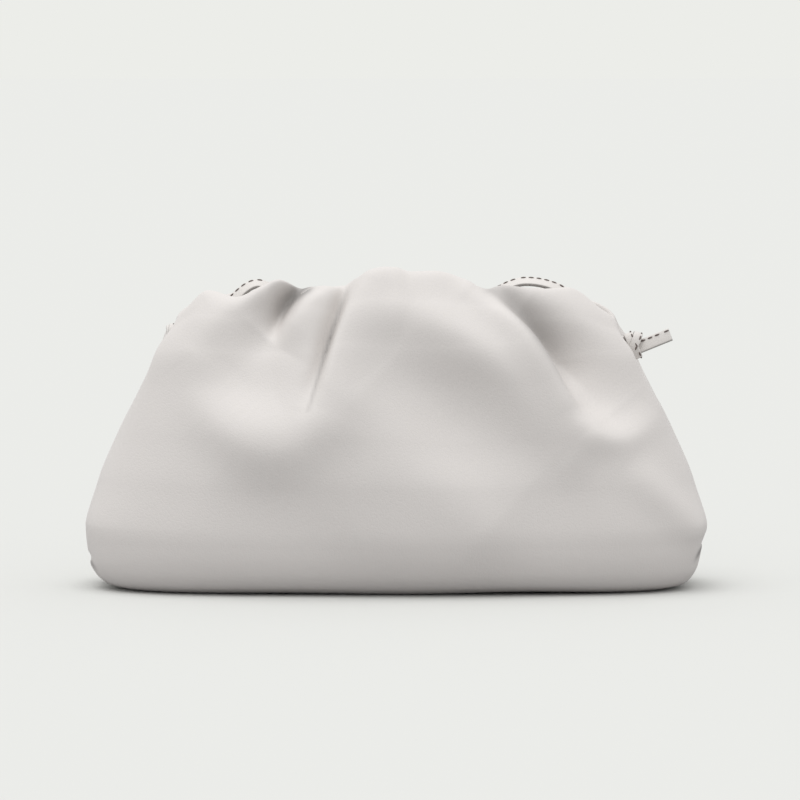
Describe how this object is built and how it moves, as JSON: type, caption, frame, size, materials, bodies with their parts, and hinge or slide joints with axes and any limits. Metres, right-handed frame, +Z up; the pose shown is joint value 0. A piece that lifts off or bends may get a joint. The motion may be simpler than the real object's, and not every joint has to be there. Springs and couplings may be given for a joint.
{
  "type": "soft leather pouch bag",
  "caption": "Soft gathered clutch pouch with a wide rounded base, a framed mouth slot and a thin strap knotted outside each end.",
  "frame": {"origin": "under the middle of the base, on the surface that the bag stands on", "axes": "+X to the right seen from the front, +Y to the back, +Z up"},
  "size_m": [0.3, 0.1278, 0.1554],
  "materials": {
    "leather": "off-white, fine pebble grain, satin",
    "bar_leather": "off-white, smooth, satin",
    "strap_leather": "off-white, smooth, satin, stitched along its edges"
  },
  "bodies": {
    "root": {"front_panel": "leather", "back_panel": "leather", "front_mouth_bar": "bar_leather", "back_mouth_bar": "bar_leather", "strap": "strap_leather"}
  },
  "joints": []
}
